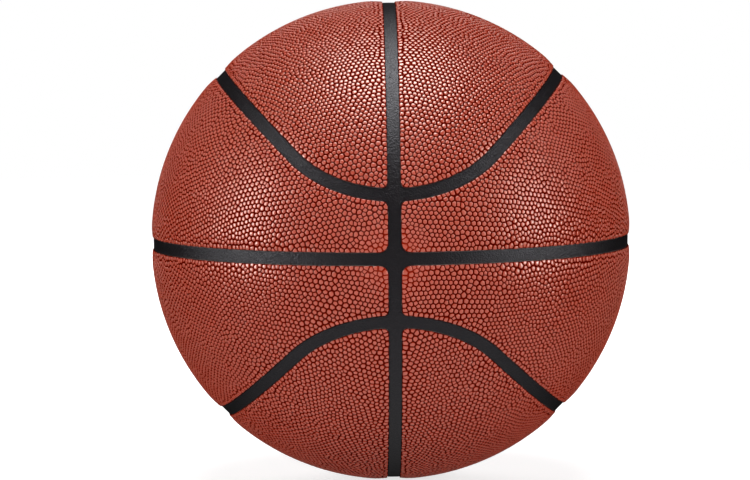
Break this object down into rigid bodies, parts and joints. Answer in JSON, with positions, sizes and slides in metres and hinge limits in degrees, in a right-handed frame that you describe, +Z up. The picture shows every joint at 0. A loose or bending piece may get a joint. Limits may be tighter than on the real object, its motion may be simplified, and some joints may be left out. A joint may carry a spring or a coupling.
{
  "type": "basketball",
  "caption": "Inflated ball with pebbled brick-red cover panels set between black rubber channels, on a padded rubber carcass, with a needle valve whose plug pulls out.",
  "frame": {"origin": "centre of the ball", "axes": "+Z up, square to the waist seam's plane; the seam crossing shown in front faces -Y, and the meridian seam lies in X = 0"},
  "size_m": [0.2378, 0.2368, 0.2378],
  "materials": {
    "pebbled_composite": "satin",
    "sponge": "matte",
    "channel_rubber": "satin",
    "nylon_thread": "satin",
    "butyl_rubber": "satin",
    "valve_rubber": "satin"
  },
  "bodies": {
    "ball": {"upper_left_waist_panel": "pebbled_composite", "upper_left_crown_panel": "pebbled_composite", "upper_right_waist_panel": "pebbled_composite", "upper_right_crown_panel": "pebbled_composite", "lower_left_waist_panel": "pebbled_composite", "lower_left_crown_panel": "pebbled_composite", "lower_right_waist_panel": "pebbled_composite", "lower_right_crown_panel": "pebbled_composite", "upper_left_waist_pad": "sponge", "upper_left_crown_pad": "sponge", "upper_right_waist_pad": "sponge", "upper_right_crown_pad": "sponge", "lower_left_waist_pad": "sponge", "lower_left_crown_pad": "sponge", "lower_right_waist_pad": "sponge", "lower_right_crown_pad": "sponge", "rubber_carcass": "channel_rubber", "thread_winding": "nylon_thread", "air_bladder": "butyl_rubber", "valve_housing": "valve_rubber"},
    "plug": {"valve_plug": "valve_rubber"}
  },
  "joints": [
    {"name": "valve_plug_pull", "type": "slide", "parent": "ball", "child": "plug", "axis": [-0.6533, 0.7071, 0.2706], "range_m": [0, 0.024]}
  ]
}
